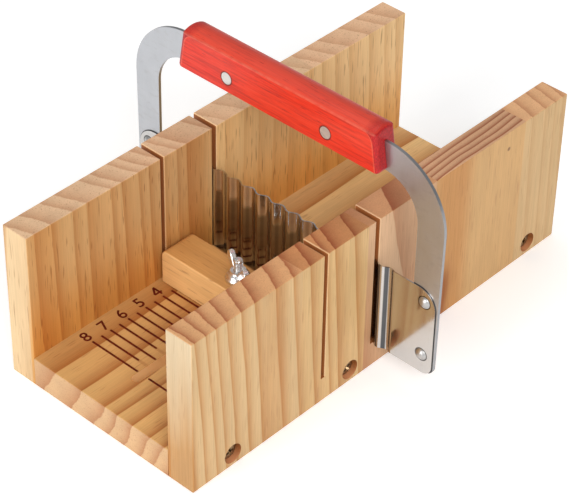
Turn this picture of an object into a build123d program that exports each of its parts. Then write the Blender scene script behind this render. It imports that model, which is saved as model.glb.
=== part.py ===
from build123d import *
import math
import os

# Soap cutter: an open pine box with saw slots, a wavy blade on a handled bow that drops
# into them, and a sliding stop clamped to the floor by a bolt and wing nut.
# Millimetres. The origin is the middle of the box's underside, +X runs along the box
# towards its loaf end, +Y to the wall beside the scale, +Z is up.

# Box boards
box_length = 224.0
box_width = 103.0
wall_height = 75.0
wall_thickness = 13.5
floor_thickness = 14.0
edge_ease = 0.5

# Saw slots, both sawn through the walls and a little into the floor
rear_slot_from_end = 103.5
slot_pitch = 30.0
front_slot_width = 2.0
rear_slot_width = 2.4
slot_depth_in_floor = 1.9

# Wall screws, sunk in counterbores
screw_front_inset = 22.0
screw_middle_inset = 90.0
screw_back_inset = 18.5
screw_height = 6.0
counterbore_radius = 4.5
counterbore_depth = 5.0
screw_head_radius = 3.8
screw_head_height = 2.0
screw_head_ease = 0.7
screw_shank_radius = 1.8
screw_length = 28.0
screw_point_length = 4.0
screw_hole_clearance = 0.05

# Stop block and its bolt
block_depth = 17.0
block_height = 17.0
block_wall_gap = 2.0
block_end_round = 3.0
block_ease = 0.8
slide_gap = 0.1
slice_shown = 16.7
least_slice = 3.0
bolt_radius = 1.95
bolt_proud = 10.0
bolt_end_bevel = 0.4
bolt_hole_clearance = 0.25
bolt_neck_width = 4.2
bolt_neck_height = 3.0
bolt_head_radius = 5.0
bolt_head_height = 2.2
bolt_head_rim = 0.6
floor_slot_clearance = 0.15
floor_slot_from_end = 18.3
head_groove_depth = 4.5
head_groove_clearance = 0.6

# Wing nut
nut_base_radius = 5.4
nut_rim_height = 1.2
nut_top_radius = 3.3
nut_body_height = 4.6
nut_bore_clearance = 0.05
nut_seat_gap = 0.1
nut_angle = 66.0
wing_root_reach = 2.7
wing_root_height = 2.9
wing_root_radius = 1.7
wing_tip_reach = 7.3
wing_tip_height = 7.1
wing_tip_radius = 2.2
wing_thickness = 2.4
wing_ease = 0.5

# Corrugated blade
blade_thickness = 0.5
blade_height = 42.2
blade_seat_gap = 0.1
crest_count = 14
crest_wall_gap = 2.8
wave_amplitude = 0.8
wave_flank_angle = 28.0
tab_top_round = 9.0
tab_foot_round = 5.0
tab_edge_inset = 0.6

# Bow
bow_thickness = 1.4
bow_wall_gap = 19.2
bow_foot_width = 12.3
bow_top_width = 13.6
bow_outer_spread = 1.2
bow_foot_lift = 0.6
bow_band_height = 13.0
bow_outer_round = 30.0
bow_inner_round = 18.0
bow_foot_outer_round = 4.0
bow_foot_inner_round = 2.0

# Handle, its top the highest point of all
overall_height = 119.4
handle_length = 108.6
handle_width = 11.6
handle_height = 19.3
handle_crown = 1.8
handle_end_rake = 3.1
handle_end_round = 2.0
handle_bottom_round = 0.8
handle_below_bow = 0.2
kerf_clearance = 0.1

# Pins and rivets
pin_radius = 2.65
pin_spacing = 53.0
pin_clearance = 0.05
rivet_lower_inset = 9.2
rivet_upper_inset = 6.4
rivet_shank_radius = 1.6
rivet_head_radius = 2.7
rivet_head_height = 1.4
rivet_tail_radius = 2.4
rivet_tail_height = 0.7
rivet_tail_ease = 0.3
rivet_clearance = 0.05

# How far a cut runs past the face that it opens
overrun = 1.0

# Places that follow from the sizes
front_end_x = -box_length / 2
half_width = box_width / 2
channel_half = half_width - wall_thickness
rear_slot_x = front_end_x + rear_slot_from_end
front_slot_x = rear_slot_x - slot_pitch
slot_floor_z = floor_thickness - slot_depth_in_floor
screw_xs = (
    front_end_x + screw_front_inset,
    front_end_x + screw_middle_inset,
    -front_end_x - screw_back_inset,
)

stop_x = rear_slot_x - slice_shown - block_depth / 2
stop_last_x = rear_slot_x - least_slice - block_depth / 2
block_base_z = floor_thickness + slide_gap
block_top_z = block_base_z + block_height
bolt_seat_z = head_groove_depth - slide_gap
bolt_top_z = block_top_z + bolt_proud
floor_slot_half = bolt_neck_width / 2 + floor_slot_clearance
# The square neck's corners meet the slot's round end this far before the neck's face would.
neck_corner_reach = math.sqrt(floor_slot_half**2 - (bolt_neck_width / 2) ** 2)
bolt_end_stand_off = floor_slot_half + bolt_neck_width / 2 - neck_corner_reach + slide_gap
floor_slot_start_x = front_end_x + floor_slot_from_end
floor_slot_end_x = stop_last_x + bolt_end_stand_off
stop_first_x = floor_slot_start_x + bolt_end_stand_off

blade_base_z = slot_floor_z + blade_seat_gap
blade_top_z = blade_base_z + blade_height
half_pitch = (half_width + crest_wall_gap) / (crest_count - 1)
bow_inner_foot = half_width + bow_wall_gap
bow_outer_foot = bow_inner_foot + bow_foot_width
bow_outer_top = bow_outer_foot + bow_outer_spread
bow_inner_top = bow_outer_top - bow_top_width
bow_foot_z = blade_base_z + bow_foot_lift
handle_base_z = overall_height - handle_height
bow_under_z = handle_base_z + handle_below_bow
bow_top_z = bow_under_z + bow_band_height
bow_front_x = rear_slot_x + blade_thickness / 2
bow_middle_x = bow_front_x + bow_thickness / 2
tab_outer = bow_outer_foot - tab_edge_inset
pin_z = bow_top_z - bow_band_height / 2
pin_ys = (-pin_spacing / 2, pin_spacing / 2)
rivet_y = (bow_inner_foot + bow_outer_foot) / 2
rivet_zs = (blade_base_z + rivet_lower_inset, blade_top_z - rivet_upper_inset)


def slab(low, high):
    """Box between two opposite corners."""
    size = [b - a for a, b in zip(low, high)]
    middle = [(a + b) / 2 for a, b in zip(low, high)]
    return Pos(*middle) * Box(*size)


def side_plane(x, y, z):
    """Drawing plane whose own x runs along +Y, y along +Z, facing +X."""
    return Plane((x, y, z), x_dir=(0, 1, 0), z_dir=(1, 0, 0))


def saw_cuts(low_y, high_y, top_z):
    """The two saw slots between two heights of Y, from the slots' floor to top_z."""
    cuts = []
    for slot_x, slot_width in ((front_slot_x, front_slot_width), (rear_slot_x, rear_slot_width)):
        low = (slot_x - slot_width / 2, low_y - overrun, slot_floor_z)
        high = (slot_x + slot_width / 2, high_y + overrun, top_z + overrun)
        cuts.append(slab(low, high))
    return cuts


def screw_frame(side, x):
    """Plane at a counterbore's floor, facing out of the wall on that side."""
    seat_y = side * (half_width - counterbore_depth)
    return Plane((x, seat_y, screw_height), x_dir=(1, 0, 0), z_dir=(0, side, 0))


def screw_holes(side):
    """Counterbore and shank hole of every screw on one side."""
    cuts = []
    hole_radius = screw_shank_radius + screw_hole_clearance
    hole_depth = screw_length + screw_hole_clearance
    for x in screw_xs:
        seat = screw_frame(side, x)
        bore_height = counterbore_depth + overrun
        cuts.append(seat * Pos(0, 0, bore_height / 2) * Cylinder(counterbore_radius, bore_height))
        cuts.append(seat * Pos(0, 0, -hole_depth / 2) * Cylinder(hole_radius, hole_depth))
    return cuts


def wall(side):
    """Side board, on side -1 (near) or 1 (far)."""
    inner, outer = sorted((side * channel_half, side * half_width))
    board = slab((front_end_x, inner, 0), (-front_end_x, outer, wall_height))
    for cut in saw_cuts(inner, outer, wall_height):
        board -= cut
    # The edges lie at five heights, lowest first. The second row, on the slots' floor, stays sharp.
    bottom, _, *upper = board.edges().group_by(Axis.Z)
    board = fillet([edge for row in (bottom, *upper) for edge in row], edge_ease)
    for cut in screw_holes(side):
        board -= cut
    return board


def long_hole(start_x, end_x, half_slot, low_z, high_z):
    """Round-ended slot along X between two heights."""
    middle = (start_x + end_x) / 2
    outline = SlotOverall(end_x - start_x, 2 * half_slot)
    return Pos(middle, 0, low_z) * extrude(outline, high_z - low_z)


def floor_board():
    """Board between the walls, with the stop's slot and the groove under it."""
    board = slab((front_end_x, -channel_half, 0), (-front_end_x, channel_half, floor_thickness))
    board = fillet(board.edges().filter_by(Axis.Y), edge_ease)
    for cut in saw_cuts(-channel_half, channel_half, floor_thickness):
        board -= cut
    for side in (-1, 1):
        for cut in screw_holes(side):
            board -= cut
    board -= long_hole(
        floor_slot_start_x,
        floor_slot_end_x,
        floor_slot_half,
        -overrun,
        floor_thickness + overrun,
    )
    groove_half = bolt_head_radius + head_groove_clearance
    groove_reach = groove_half - floor_slot_half
    board -= long_hole(
        floor_slot_start_x - groove_reach,
        floor_slot_end_x + groove_reach,
        groove_half,
        -overrun,
        head_groove_depth,
    )
    return board


def wall_screw(side, x):
    """Pan-head wood screw, its head on the counterbore's floor."""
    shoulder = -screw_length + screw_point_length
    edge_z = screw_head_height - screw_head_ease
    outline = Polyline(
        (0, screw_head_height),
        (screw_head_radius - screw_head_ease, screw_head_height),
        (screw_head_radius, edge_z),
        (screw_head_radius, 0),
        (screw_shank_radius, 0),
        (screw_shank_radius, shoulder),
        (0, -screw_length),
        close=True,
    )
    body = revolve(Plane.XZ * make_face(outline), Axis.Z)
    return screw_frame(side, x) * body


def stop_block():
    """Bar across the channel, bored for the bolt, its ends' upper corners rounded."""
    half_length = channel_half - block_wall_gap
    half_depth = block_depth / 2
    low = (stop_x - half_depth, -half_length, block_base_z)
    high = (stop_x + half_depth, half_length, block_top_z)
    block = slab(low, high)
    top_ends = block.edges().filter_by(Axis.X).group_by(Axis.Z)[-1]
    block = fillet(top_ends, block_end_round)
    block = fillet(block.faces().sort_by(Axis.X)[0].edges(), block_ease)
    block = fillet(block.faces().sort_by(Axis.X)[-1].edges(), block_ease)
    hole_height = block_height + 2 * overrun
    hole = Cylinder(bolt_radius + bolt_hole_clearance, hole_height)
    return block - Pos(stop_x, 0, (block_base_z + block_top_z) / 2) * hole


def stop_bolt():
    """Carriage bolt: domed head below the floor slot, square neck in it, shank upward."""
    neck_top = bolt_seat_z + bolt_neck_height
    rim_z = bolt_seat_z - bolt_head_rim
    crown_z = bolt_seat_z - bolt_head_height
    sag = rim_z - crown_z
    dome_radius = (bolt_head_radius**2 + sag**2) / (2 * sag)
    half_angle = math.asin(bolt_head_radius / dome_radius) / 2
    dome_middle = (
        dome_radius * math.sin(half_angle),
        crown_z + dome_radius * (1 - math.cos(half_angle)),
    )
    crown = ThreePointArc((0, crown_z), dome_middle, (bolt_head_radius, rim_z))
    rest = Polyline(
        (bolt_head_radius, rim_z),
        (bolt_head_radius, bolt_seat_z),
        (bolt_radius, bolt_seat_z),
        (bolt_radius, bolt_top_z - bolt_end_bevel),
        (bolt_radius - bolt_end_bevel, bolt_top_z),
        (0, bolt_top_z),
        (0, crown_z),
    )
    turned = revolve(Plane.XZ * make_face([crown, rest]), Axis.Z)
    half_neck = bolt_neck_width / 2
    neck = slab((-half_neck, -half_neck, bolt_seat_z), (half_neck, half_neck, neck_top))
    return Pos(stop_x, 0, 0) * (turned + neck)


def nut_wing():
    """One ear of the wing nut, along +X from the bolt's axis."""
    root = Pos(wing_root_reach, wing_root_height) * Circle(wing_root_radius)
    tip = Pos(wing_tip_reach, wing_tip_height) * Circle(wing_tip_radius)
    outline = make_hull([root.edge(), tip.edge()])
    ear = extrude(Plane.XZ * outline, wing_thickness / 2, both=True)
    return fillet(ear.edges(), wing_ease)


def wing_nut():
    """Bell-shaped nut with two ears, just above the block."""
    bore_radius = bolt_radius + nut_bore_clearance
    shoulder_radius = (nut_base_radius + nut_top_radius) / 2
    shoulder_z = (nut_rim_height + nut_body_height) / 2
    bell = Spline(
        (nut_base_radius, nut_rim_height),
        (shoulder_radius, shoulder_z),
        (nut_top_radius, nut_body_height),
        tangents=((-1, 1), (0, 1)),
    )
    rest = Polyline(
        (nut_top_radius, nut_body_height),
        (0, nut_body_height),
        (0, 0),
        (nut_base_radius, 0),
        (nut_base_radius, nut_rim_height),
    )
    nut = revolve(Plane.XZ * make_face([bell, rest]), Axis.Z)
    for turn in (0, 180):
        nut += Rot(0, 0, turn) * nut_wing()
    wing_top = wing_tip_height + wing_tip_radius
    bore_height = 2 * (wing_top + overrun)
    nut -= Cylinder(bore_radius, bore_height)
    return Pos(stop_x, 0, block_top_z + nut_seat_gap) * Rot(0, 0, nut_angle) * nut


def sheet_bends():
    """Every bend of the corrugated sheet, from -Y to +Y, as
    (centre X, centre Y, side it bulges to, first angle, last angle), and its middle radius."""
    flank = math.radians(wave_flank_angle)
    # The flank's slope, the quarter wave's run and its rise fix the bend's radius.
    run = half_pitch / 2
    radius = (run * math.tan(flank) - wave_amplitude) / (1 / math.cos(flank) - 1)
    last = crest_count
    bends = []
    for place in range(-last, last + 1):
        bulge = -1 if place % 2 else 1
        centre_x = bulge * (wave_amplitude - radius)
        bends.append((centre_x, place * half_pitch, bulge, -flank, flank))
    bend_drop = radius * (1 - math.cos(flank))
    straight_run = (wave_amplitude - 2 * bend_drop) / math.tan(flank)
    tab_start = last * half_pitch + 2 * radius * math.sin(flank) + straight_run
    bends.insert(0, (radius, -tab_start, -1, 0, flank))
    bends.append((radius, tab_start, -1, -flank, 0))
    return bends, radius


def sheet_side(offset):
    """Edges of one face of the corrugated sheet, offset from its middle, from -Y to +Y."""
    bends, radius = sheet_bends()
    edges = []
    here = (offset, -tab_outer)
    for centre_x, centre_y, bulge, first, last in bends:
        bend_radius = radius + bulge * offset
        points = []
        for angle in (first, (first + last) / 2, last):
            point_x = centre_x + bulge * bend_radius * math.cos(angle)
            point_y = centre_y + bend_radius * math.sin(angle)
            points.append((point_x, point_y))
        edges.append(Line(here, points[0]))
        edges.append(ThreePointArc(*points))
        here = points[-1]
    edges.append(Line(here, (offset, tab_outer)))
    return edges


def cutter_blade():
    """Corrugated sheet with a flat, round-cornered tab at each end."""
    half_sheet = blade_thickness / 2
    ends = [
        Line((-half_sheet, y), (half_sheet, y)) for y in (-tab_outer, tab_outer)
    ]
    section = make_face(sheet_side(-half_sheet) + sheet_side(half_sheet) + ends)
    sheet = Pos(rear_slot_x, 0, blade_base_z) * extrude(section, blade_height)
    outline = Rectangle(2 * tab_outer, blade_height)
    corners = outline.vertices().group_by(Axis.Y)
    outline = fillet(corners[-1], tab_top_round)
    outline = fillet(outline.vertices().group_by(Axis.Y)[0], tab_foot_round)
    reach = wave_amplitude + blade_thickness + overrun
    middle = side_plane(rear_slot_x, 0, blade_base_z + blade_height / 2)
    sheet &= middle * extrude(outline, reach, both=True)
    hole = Cylinder(rivet_shank_radius + rivet_clearance, blade_thickness + 2 * overrun)
    for y, z in rivet_places():
        sheet -= side_plane(rear_slot_x, y, z) * hole
    return sheet


def rivet_places():
    """Y and Z of each rivet."""
    return [(side * rivet_y, z) for side in (-1, 1) for z in rivet_zs]


def cutter_bow():
    """Flat strip in a U, legs widening a little upwards, holed for rivets and pins."""
    outline = make_face(
        Polyline(
            (-bow_outer_foot, bow_foot_z),
            (-bow_outer_top, bow_top_z),
            (bow_outer_top, bow_top_z),
            (bow_outer_foot, bow_foot_z),
            (bow_inner_foot, bow_foot_z),
            (bow_inner_top, bow_under_z),
            (-bow_inner_top, bow_under_z),
            (-bow_inner_foot, bow_foot_z),
            close=True,
        )
    )
    rounds = (
        (bow_outer_top, bow_top_z, bow_outer_round),
        (bow_inner_top, bow_under_z, bow_inner_round),
        (bow_outer_foot, bow_foot_z, bow_foot_outer_round),
        (bow_inner_foot, bow_foot_z, bow_foot_inner_round),
    )
    for y, z, radius in rounds:
        for side in (-1, 1):
            corner = outline.vertices().sort_by_distance((side * y, z, 0))[0]
            outline = fillet(corner, radius)
    strip = extrude(side_plane(bow_front_x, 0, 0) * outline, bow_thickness)
    hole_length = bow_thickness + 2 * overrun
    rivet_hole = Cylinder(rivet_shank_radius + rivet_clearance, hole_length)
    for y, z in rivet_places():
        strip -= side_plane(bow_middle_x, y, z) * rivet_hole
    pin_hole = Cylinder(pin_radius + pin_clearance, hole_length)
    for y in pin_ys:
        strip -= side_plane(bow_middle_x, y, pin_z) * pin_hole
    return strip


def grip_section():
    """Grip cut across: upright sides, crowned top, eased lower corners."""
    side = handle_width / 2
    crown_foot = handle_height - handle_crown
    walls = Polyline((-side, crown_foot), (-side, 0), (side, 0), (side, crown_foot))
    crown = ThreePointArc((side, crown_foot), (0, handle_height), (-side, crown_foot))
    section = make_face([walls, crown])
    return fillet(section.vertices().group_by(Axis.Y)[0], handle_bottom_round)


def cutter_handle():
    """Wooden grip: raked ends with rounded edges, kerf from below for the bow."""
    half_length = handle_length / 2
    top_half = half_length - handle_end_rake
    profile = make_face(
        Polyline(
            (-half_length, 0),
            (-top_half, handle_height),
            (top_half, handle_height),
            (half_length, 0),
            close=True,
        )
    )
    long_way = extrude(Plane.XZ * grip_section(), half_length + overrun, both=True)
    wide_way = extrude(side_plane(0, 0, 0) * profile, handle_width, both=True)
    blank = long_way & wide_way
    for end in (0, -1):
        blank = fillet(blank.faces().sort_by(Axis.Y)[end].edges(), handle_end_round)
    grip = Pos(bow_middle_x, 0, handle_base_z) * blank
    kerf_half = bow_thickness / 2 + kerf_clearance
    kerf_low = (bow_middle_x - kerf_half, -half_length - overrun, handle_base_z - overrun)
    kerf_high = (bow_middle_x + kerf_half, half_length + overrun, bow_top_z + kerf_clearance)
    grip -= slab(kerf_low, kerf_high)
    pin_hole = Cylinder(pin_radius + pin_clearance, handle_width + 2 * overrun)
    for y in pin_ys:
        grip -= side_plane(bow_middle_x, y, pin_z) * pin_hole
    return grip


def handle_pin(y):
    """Plain pin through grip and bow, flush with the grip's faces."""
    return side_plane(bow_middle_x, y, pin_z) * Cylinder(pin_radius, handle_width)


def blade_rivet(y, z):
    """Rivet with a domed head on the tab and a low, flat tail behind the bow."""
    tab_face = -blade_thickness
    tail_face = bow_thickness
    dome_radius = (rivet_head_radius**2 + rivet_head_height**2) / (2 * rivet_head_height)
    half_angle = math.asin(rivet_head_radius / dome_radius) / 2
    crown_z = tab_face - rivet_head_height
    dome_middle = (
        dome_radius * math.sin(half_angle),
        crown_z + dome_radius * (1 - math.cos(half_angle)),
    )
    crown = ThreePointArc((0, crown_z), dome_middle, (rivet_head_radius, tab_face))
    tail_top = tail_face + rivet_tail_height
    rest = Polyline(
        (rivet_head_radius, tab_face),
        (rivet_shank_radius, tab_face),
        (rivet_shank_radius, tail_face),
        (rivet_tail_radius, tail_face),
        (rivet_tail_radius, tail_top - rivet_tail_ease),
        (rivet_tail_radius - rivet_tail_ease, tail_top),
        (0, tail_top),
        (0, crown_z),
    )
    body = revolve(Plane.XZ * make_face([crown, rest]), Axis.Z)
    return side_plane(bow_front_x, y, z) * body


def all_pieces():
    """Every node's name and solid."""
    pieces = {
        "floor_board": floor_board(),
        "near_wall": wall(-1),
        "far_wall": wall(1),
        "stop_block": stop_block(),
        "stop_bolt": stop_bolt(),
        "wing_nut": wing_nut(),
        "cutter_blade": cutter_blade(),
        "cutter_bow": cutter_bow(),
        "cutter_handle": cutter_handle(),
    }
    for side, side_name in ((-1, "near"), (1, "far")):
        for number, x in enumerate(screw_xs, start=1):
            pieces[f"{side_name}_screw_{number}"] = wall_screw(side, x)
        pieces[f"{side_name}_handle_pin"] = handle_pin(side * pin_spacing / 2)
        for level, z in zip(("lower", "upper"), rivet_zs):
            pieces[f"{side_name}_{level}_rivet"] = blade_rivet(side * rivet_y, z)
    return pieces


os.makedirs("parts", exist_ok=True)
for name, shape in all_pieces().items():
    export_step(shape, f"parts/{name}.step")
print(f"stop travel from rest: {stop_first_x - stop_x:.3f} to {stop_last_x - stop_x:.3f} mm")
print(f"stop bolt at x = {stop_x:.3f}, cutter lift to clear: {wall_height - blade_base_z:.2f} mm")
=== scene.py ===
import logging
import math
from dataclasses import dataclass, field
from enum import Enum

import bmesh
import bpy
from mathutils import Matrix, Vector


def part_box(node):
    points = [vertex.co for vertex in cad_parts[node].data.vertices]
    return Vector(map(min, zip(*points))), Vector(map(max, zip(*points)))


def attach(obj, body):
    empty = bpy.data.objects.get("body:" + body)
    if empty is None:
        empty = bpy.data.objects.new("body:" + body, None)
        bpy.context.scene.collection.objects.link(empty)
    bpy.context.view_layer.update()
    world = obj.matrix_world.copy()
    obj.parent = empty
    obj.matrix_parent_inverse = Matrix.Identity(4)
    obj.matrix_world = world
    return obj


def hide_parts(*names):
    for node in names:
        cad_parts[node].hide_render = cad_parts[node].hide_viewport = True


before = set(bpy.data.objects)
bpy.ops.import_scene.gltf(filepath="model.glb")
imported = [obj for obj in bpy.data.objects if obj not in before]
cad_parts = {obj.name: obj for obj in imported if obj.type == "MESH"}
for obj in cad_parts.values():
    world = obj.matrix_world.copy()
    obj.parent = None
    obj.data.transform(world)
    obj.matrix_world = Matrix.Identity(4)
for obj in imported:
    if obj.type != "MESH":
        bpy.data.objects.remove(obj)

Colour = tuple[float, float, float, float]
Triple = tuple[float, float, float]
Mesh = bmesh.types.BMesh
Material = bpy.types.Material

MM = 0.001
WHITE = (1.0, 1.0, 1.0, 1.0)
# A mark reaches this far past its edge, in millimetres, to take in the faces that lie there.
HAIR = 0.02

log = logging.getLogger("soap_cutter")


def shade(red: float, green: float, blue: float) -> Colour:
    """Turns a screen colour into the light it stands for.

    Args:
        red: red, from 0 to 255.
        green: green, from 0 to 255.
        blue: blue, from 0 to 255.

    Returns:
        The linear colour with full opacity.
    """
    def light(level: float) -> float:
        """Returns one channel's light."""
        part = level / 255
        return part / 12.92 if part <= 0.04045 else ((part + 0.055) / 1.055) ** 2.4

    return light(red), light(green), light(blue), 1.0


RESIN_DUCT = shade(150, 92, 48)
AMBER_TINT = (0.84, 0.62, 0.4, 1.0)
PIN_KNOT = shade(112, 70, 40)
# Painted highlight at a saw slot's mouth, and painted shade inside the slot.
SAW_MOUTH_PAINTED_HIGHLIGHT = shade(238, 196, 146)
SAW_SLOT_PAINTED_SHADE = shade(176, 108, 58)
# Painted light and painted shade inside a counterbore.
BORE_PAINTED_LIGHT = shade(232, 160, 110)
BORE_PAINTED_SHADE = shade(160, 98, 52)
SCORCH = shade(150, 80, 34)
# Painted light inside the floor's groove.
GROOVE_PAINTED_LIGHT = shade(255, 218, 162)
RED_SPECK = shade(140, 26, 22)
RED_END_PALE = shade(196, 30, 30)
# Painted highlight along the grip's edges.
RED_EDGE_PAINTED_HIGHLIGHT = shade(224, 122, 98)
# Painted shade round the grip's pins.
PIN_PAINTED_SHADE = shade(70, 16, 12)
# Painted dark reflection beside the blade's bends.
BEND_PAINTED_REFLECTION = shade(36, 44, 54)
# Painted dark reflection on the flanks of the blade's ribs.
RIB_PAINTED_REFLECTION = shade(40, 28, 20)
# Painted shadow round each rivet.
RIVET_PAINTED_SHADOW = shade(40, 38, 36)
# Painted shadow on the bow along the tab's edge.
LAP_PAINTED_SHADOW = shade(44, 40, 38)


class Grain(Enum):
    """Which way the fibres run, as the axes across, through and along the board."""

    ALONG_X = (1, 2, 0)
    ALONG_Y = (2, 0, 1)
    ALONG_Z = (0, 1, 2)


class Count(Enum):
    """Which way the yearly rings of a stave follow each other."""

    ACROSS = "across"
    THROUGH = "through"


class Brush(Enum):
    """Which way steel was brushed, as the stretch of its lines on each axis."""

    ALONG_Z = (1.0, 1.0, 0.02)
    NONE = (1.0, 1.0, 1.0)


class Value:
    """A number or colour that a sheet's nodes work out. Sums with it add nodes."""

    def __init__(self, sheet: "Sheet", socket: bpy.types.NodeSocket) -> None:
        """Keeps the sheet and the output that gives the value."""
        self.sheet = sheet
        self.socket = socket

    def __add__(self, other: "Number") -> "Value":
        """Returns the sum."""
        return self.sheet.math("ADD", self, other)

    def __sub__(self, other: "Number") -> "Value":
        """Returns the difference."""
        return self.sheet.math("SUBTRACT", self, other)

    def __rsub__(self, other: float) -> "Value":
        """Returns a plain number less the value."""
        return self.sheet.math("SUBTRACT", other, self)

    def __mul__(self, other: "Number") -> "Value":
        """Returns the product."""
        return self.sheet.math("MULTIPLY", self, other)

    def __truediv__(self, other: float) -> "Value":
        """Returns the quotient."""
        return self.sheet.math("DIVIDE", self, other)

    def __pow__(self, other: float) -> "Value":
        """Returns the power."""
        return self.sheet.math("POWER", self, other)

    def __abs__(self) -> "Value":
        """Returns the value without its sign."""
        return self.sheet.math("ABSOLUTE", self)

    def __lt__(self, other: float) -> "Value":
        """Returns 1 where the value is smaller, and 0 elsewhere."""
        return self.sheet.math("LESS_THAN", self, other)

    def __gt__(self, other: float) -> "Value":
        """Returns 1 where the value is larger, and 0 elsewhere."""
        return self.sheet.math("GREATER_THAN", self, other)

    def span(self, low: "Number", high: "Number", first: float = 0.0, last: float = 1.0,
             soft: bool = False) -> "Value":
        """Carries the value from one range to another, and holds it at the ends.

        Args:
            low: start of its range.
            high: end of its range.
            first: result at the start.
            last: result at the end.
            soft: True for a soft start and end.

        Returns:
            The result.
        """
        kind = "SMOOTHSTEP" if soft else "LINEAR"
        return self.sheet.add("ShaderNodeMapRange", (self, low, high, first, last),
                              interpolation_type=kind, clamp=True)


Number = float | Value
Tint = Colour | Value


class Sheet:
    """The node sheet of one material, written from left to right.

    Attributes:
        material: the material.
        shader: its shader node.
        x: place on the piece along the box, in millimetres.
        y: place across it.
        z: height.
    """

    def __init__(self, name: str) -> None:
        """Starts an empty sheet with its shader.

        Args:
            name: the material's name.
        """
        self.material = bpy.data.materials.new(name)
        self.material.use_nodes = True
        self.tree = self.material.node_tree
        self.tree.nodes.clear()
        self.shader = self.tree.nodes.new("ShaderNodeBsdfPrincipled")
        end = self.tree.nodes.new("ShaderNodeOutputMaterial")
        self.tree.links.new(self.shader.outputs["BSDF"], end.inputs["Surface"])
        self.source = self.tree.nodes.new("ShaderNodeTexCoord")
        self.x, self.y, self.z = self.parts(self.places())

    def feed(self, node: bpy.types.Node, values: dict[str | int, object]) -> None:
        """Sets a node's inputs to values, or links them.

        Args:
            node: the node.
            values: what each input gets, by its name or place.
        """
        for key, value in values.items():
            if isinstance(value, Value):
                self.tree.links.new(value.socket, node.inputs[key])
            else:
                node.inputs[key].default_value = value

    def add(self, kind: str, values: tuple[object, ...] | dict[str | int, object],
            result: int | str = 0, **settings: object) -> Value:
        """Adds a node and feeds it.

        Args:
            kind: the node's type.
            values: what its inputs get, in order or by name or place.
            result: name or place of the output that is used.
            settings: properties to set on the node.

        Returns:
            What it gives.
        """
        node = self.tree.nodes.new(kind)
        for key, value in settings.items():
            setattr(node, key, value)
        self.feed(node, values if isinstance(values, dict) else dict(enumerate(values)))
        return Value(self, node.outputs[result])

    def places(self, stretch: Triple = (1.0, 1.0, 1.0)) -> Value:
        """Gives the place on the piece in millimetres.

        Args:
            stretch: factor on each axis.

        Returns:
            The place as a vector.
        """
        place = Value(self, self.source.outputs["Object"])
        scale = tuple(factor / MM for factor in stretch)
        return self.add("ShaderNodeMapping", {"Vector": place, "Scale": scale}, "Vector")

    def parts(self, vector: Value) -> list[Value]:
        """Splits a vector into its x, y and z."""
        split = self.add("ShaderNodeSeparateXYZ", (vector,)).socket.node
        return [Value(self, output) for output in split.outputs]

    def join(self, x: Number, y: Number, z: Number) -> Value:
        """Joins x, y and z into a vector."""
        return self.add("ShaderNodeCombineXYZ", (x, y, z))

    def grey(self, level: Value) -> Value:
        """Turns a level into a grey colour."""
        return self.join(level, level, level)

    def math(self, operation: str, *values: Number) -> Value:
        """Works out one of Blender's sums from one or two numbers."""
        return self.add("ShaderNodeMath", values, operation=operation)

    def distance(self, beside: Value, above: Value) -> Value:
        """Gives how far a place is from another, from how far beside and above it lies."""
        return self.math("SQRT", beside * beside + above * above)

    def noise(self, place: Value | Triple, scale: float = 1.0, detail: float = 2.0,
              rough: float = 0.5, bend: float = 0.0) -> Value:
        """Gives a cloudy value about 0.5.

        Args:
            place: where to read it, or its clouds to the millimetre on each axis.
            scale: clouds to the unit.
            detail: how many finer layers it has.
            rough: how strong these are.
            bend: how far they are pulled about.

        Returns:
            The value.
        """
        if isinstance(place, tuple):
            place = self.places(place)
        return self.add("ShaderNodeTexNoise",
                        {"Vector": place, "Scale": scale, "Detail": detail,
                         "Roughness": rough, "Distortion": bend}, noise_dimensions="3D")

    def blend(self, amount: Number, first: Tint, second: Tint, how: str = "MIX") -> Value:
        """Blends two colours.

        Args:
            amount: share of the second one.
            first: the lower colour.
            second: the upper colour.
            how: Blender's name of the blend.

        Returns:
            The blended colour.
        """
        return self.add("ShaderNodeMix", {0: amount, 6: first, 7: second}, 2,
                        data_type="RGBA", blend_type=how)

    def tint(self, colour: Tint, glass: Tint) -> Value:
        """Gives a colour as it is seen through coloured glass."""
        return self.blend(1.0, colour, glass, "MULTIPLY")

    def steps(self, value: Value, stops: list[tuple[float, float]]) -> Value:
        """Reads a grey scale between marked levels.

        Args:
            value: place on the scale, from 0 to 1.
            stops: pairs of place and level, in order.

        Returns:
            The level.
        """
        scale = self.add("ShaderNodeValToRGB", (value,))
        marks = scale.socket.node.color_ramp.elements
        while len(marks) > 1:
            marks.remove(marks[-1])
        for index, (place, level) in enumerate(stops):
            mark = marks[0] if index == 0 else marks.new(place)
            mark.position = place
            mark.color = (level, level, level, 1.0)
        return scale

    def bump(self, height: Value, relief: tuple[float, float]) -> Value:
        """Turns a height into a bent normal.

        Args:
            height: the height, from 0 to 1.
            relief: what 1 stands for, in millimetres, and how much of it is used.

        Returns:
            The normal.
        """
        depth, strength = relief
        return self.add("ShaderNodeBump", {"Height": height, "Distance": depth * MM,
                                           "Strength": strength}, "Normal")

    def ends(self, along: int) -> Value:
        """Gives 1 on faces that cut across an axis, 0 to 2, and 0 on faces beside it."""
        facing = self.parts(Value(self, self.source.outputs["Normal"]))[along]
        return abs(facing).span(0.55, 0.8, soft=True)


@dataclass(frozen=True)
class Finish:
    """How a piece looks. Each kind of finish paints its own way.

    Attributes:
        name: the material's name.
    """

    name: str

    def paint(self, sheet: Sheet) -> dict[str, Number | Tint]:
        """Works out what the shader's inputs get."""
        raise NotImplementedError

    def build(self) -> Material:
        """Builds the material.

        Returns:
            The material.
        """
        sheet = Sheet(self.name)
        sheet.feed(sheet.shader, self.paint(sheet))
        return sheet.material


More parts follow.
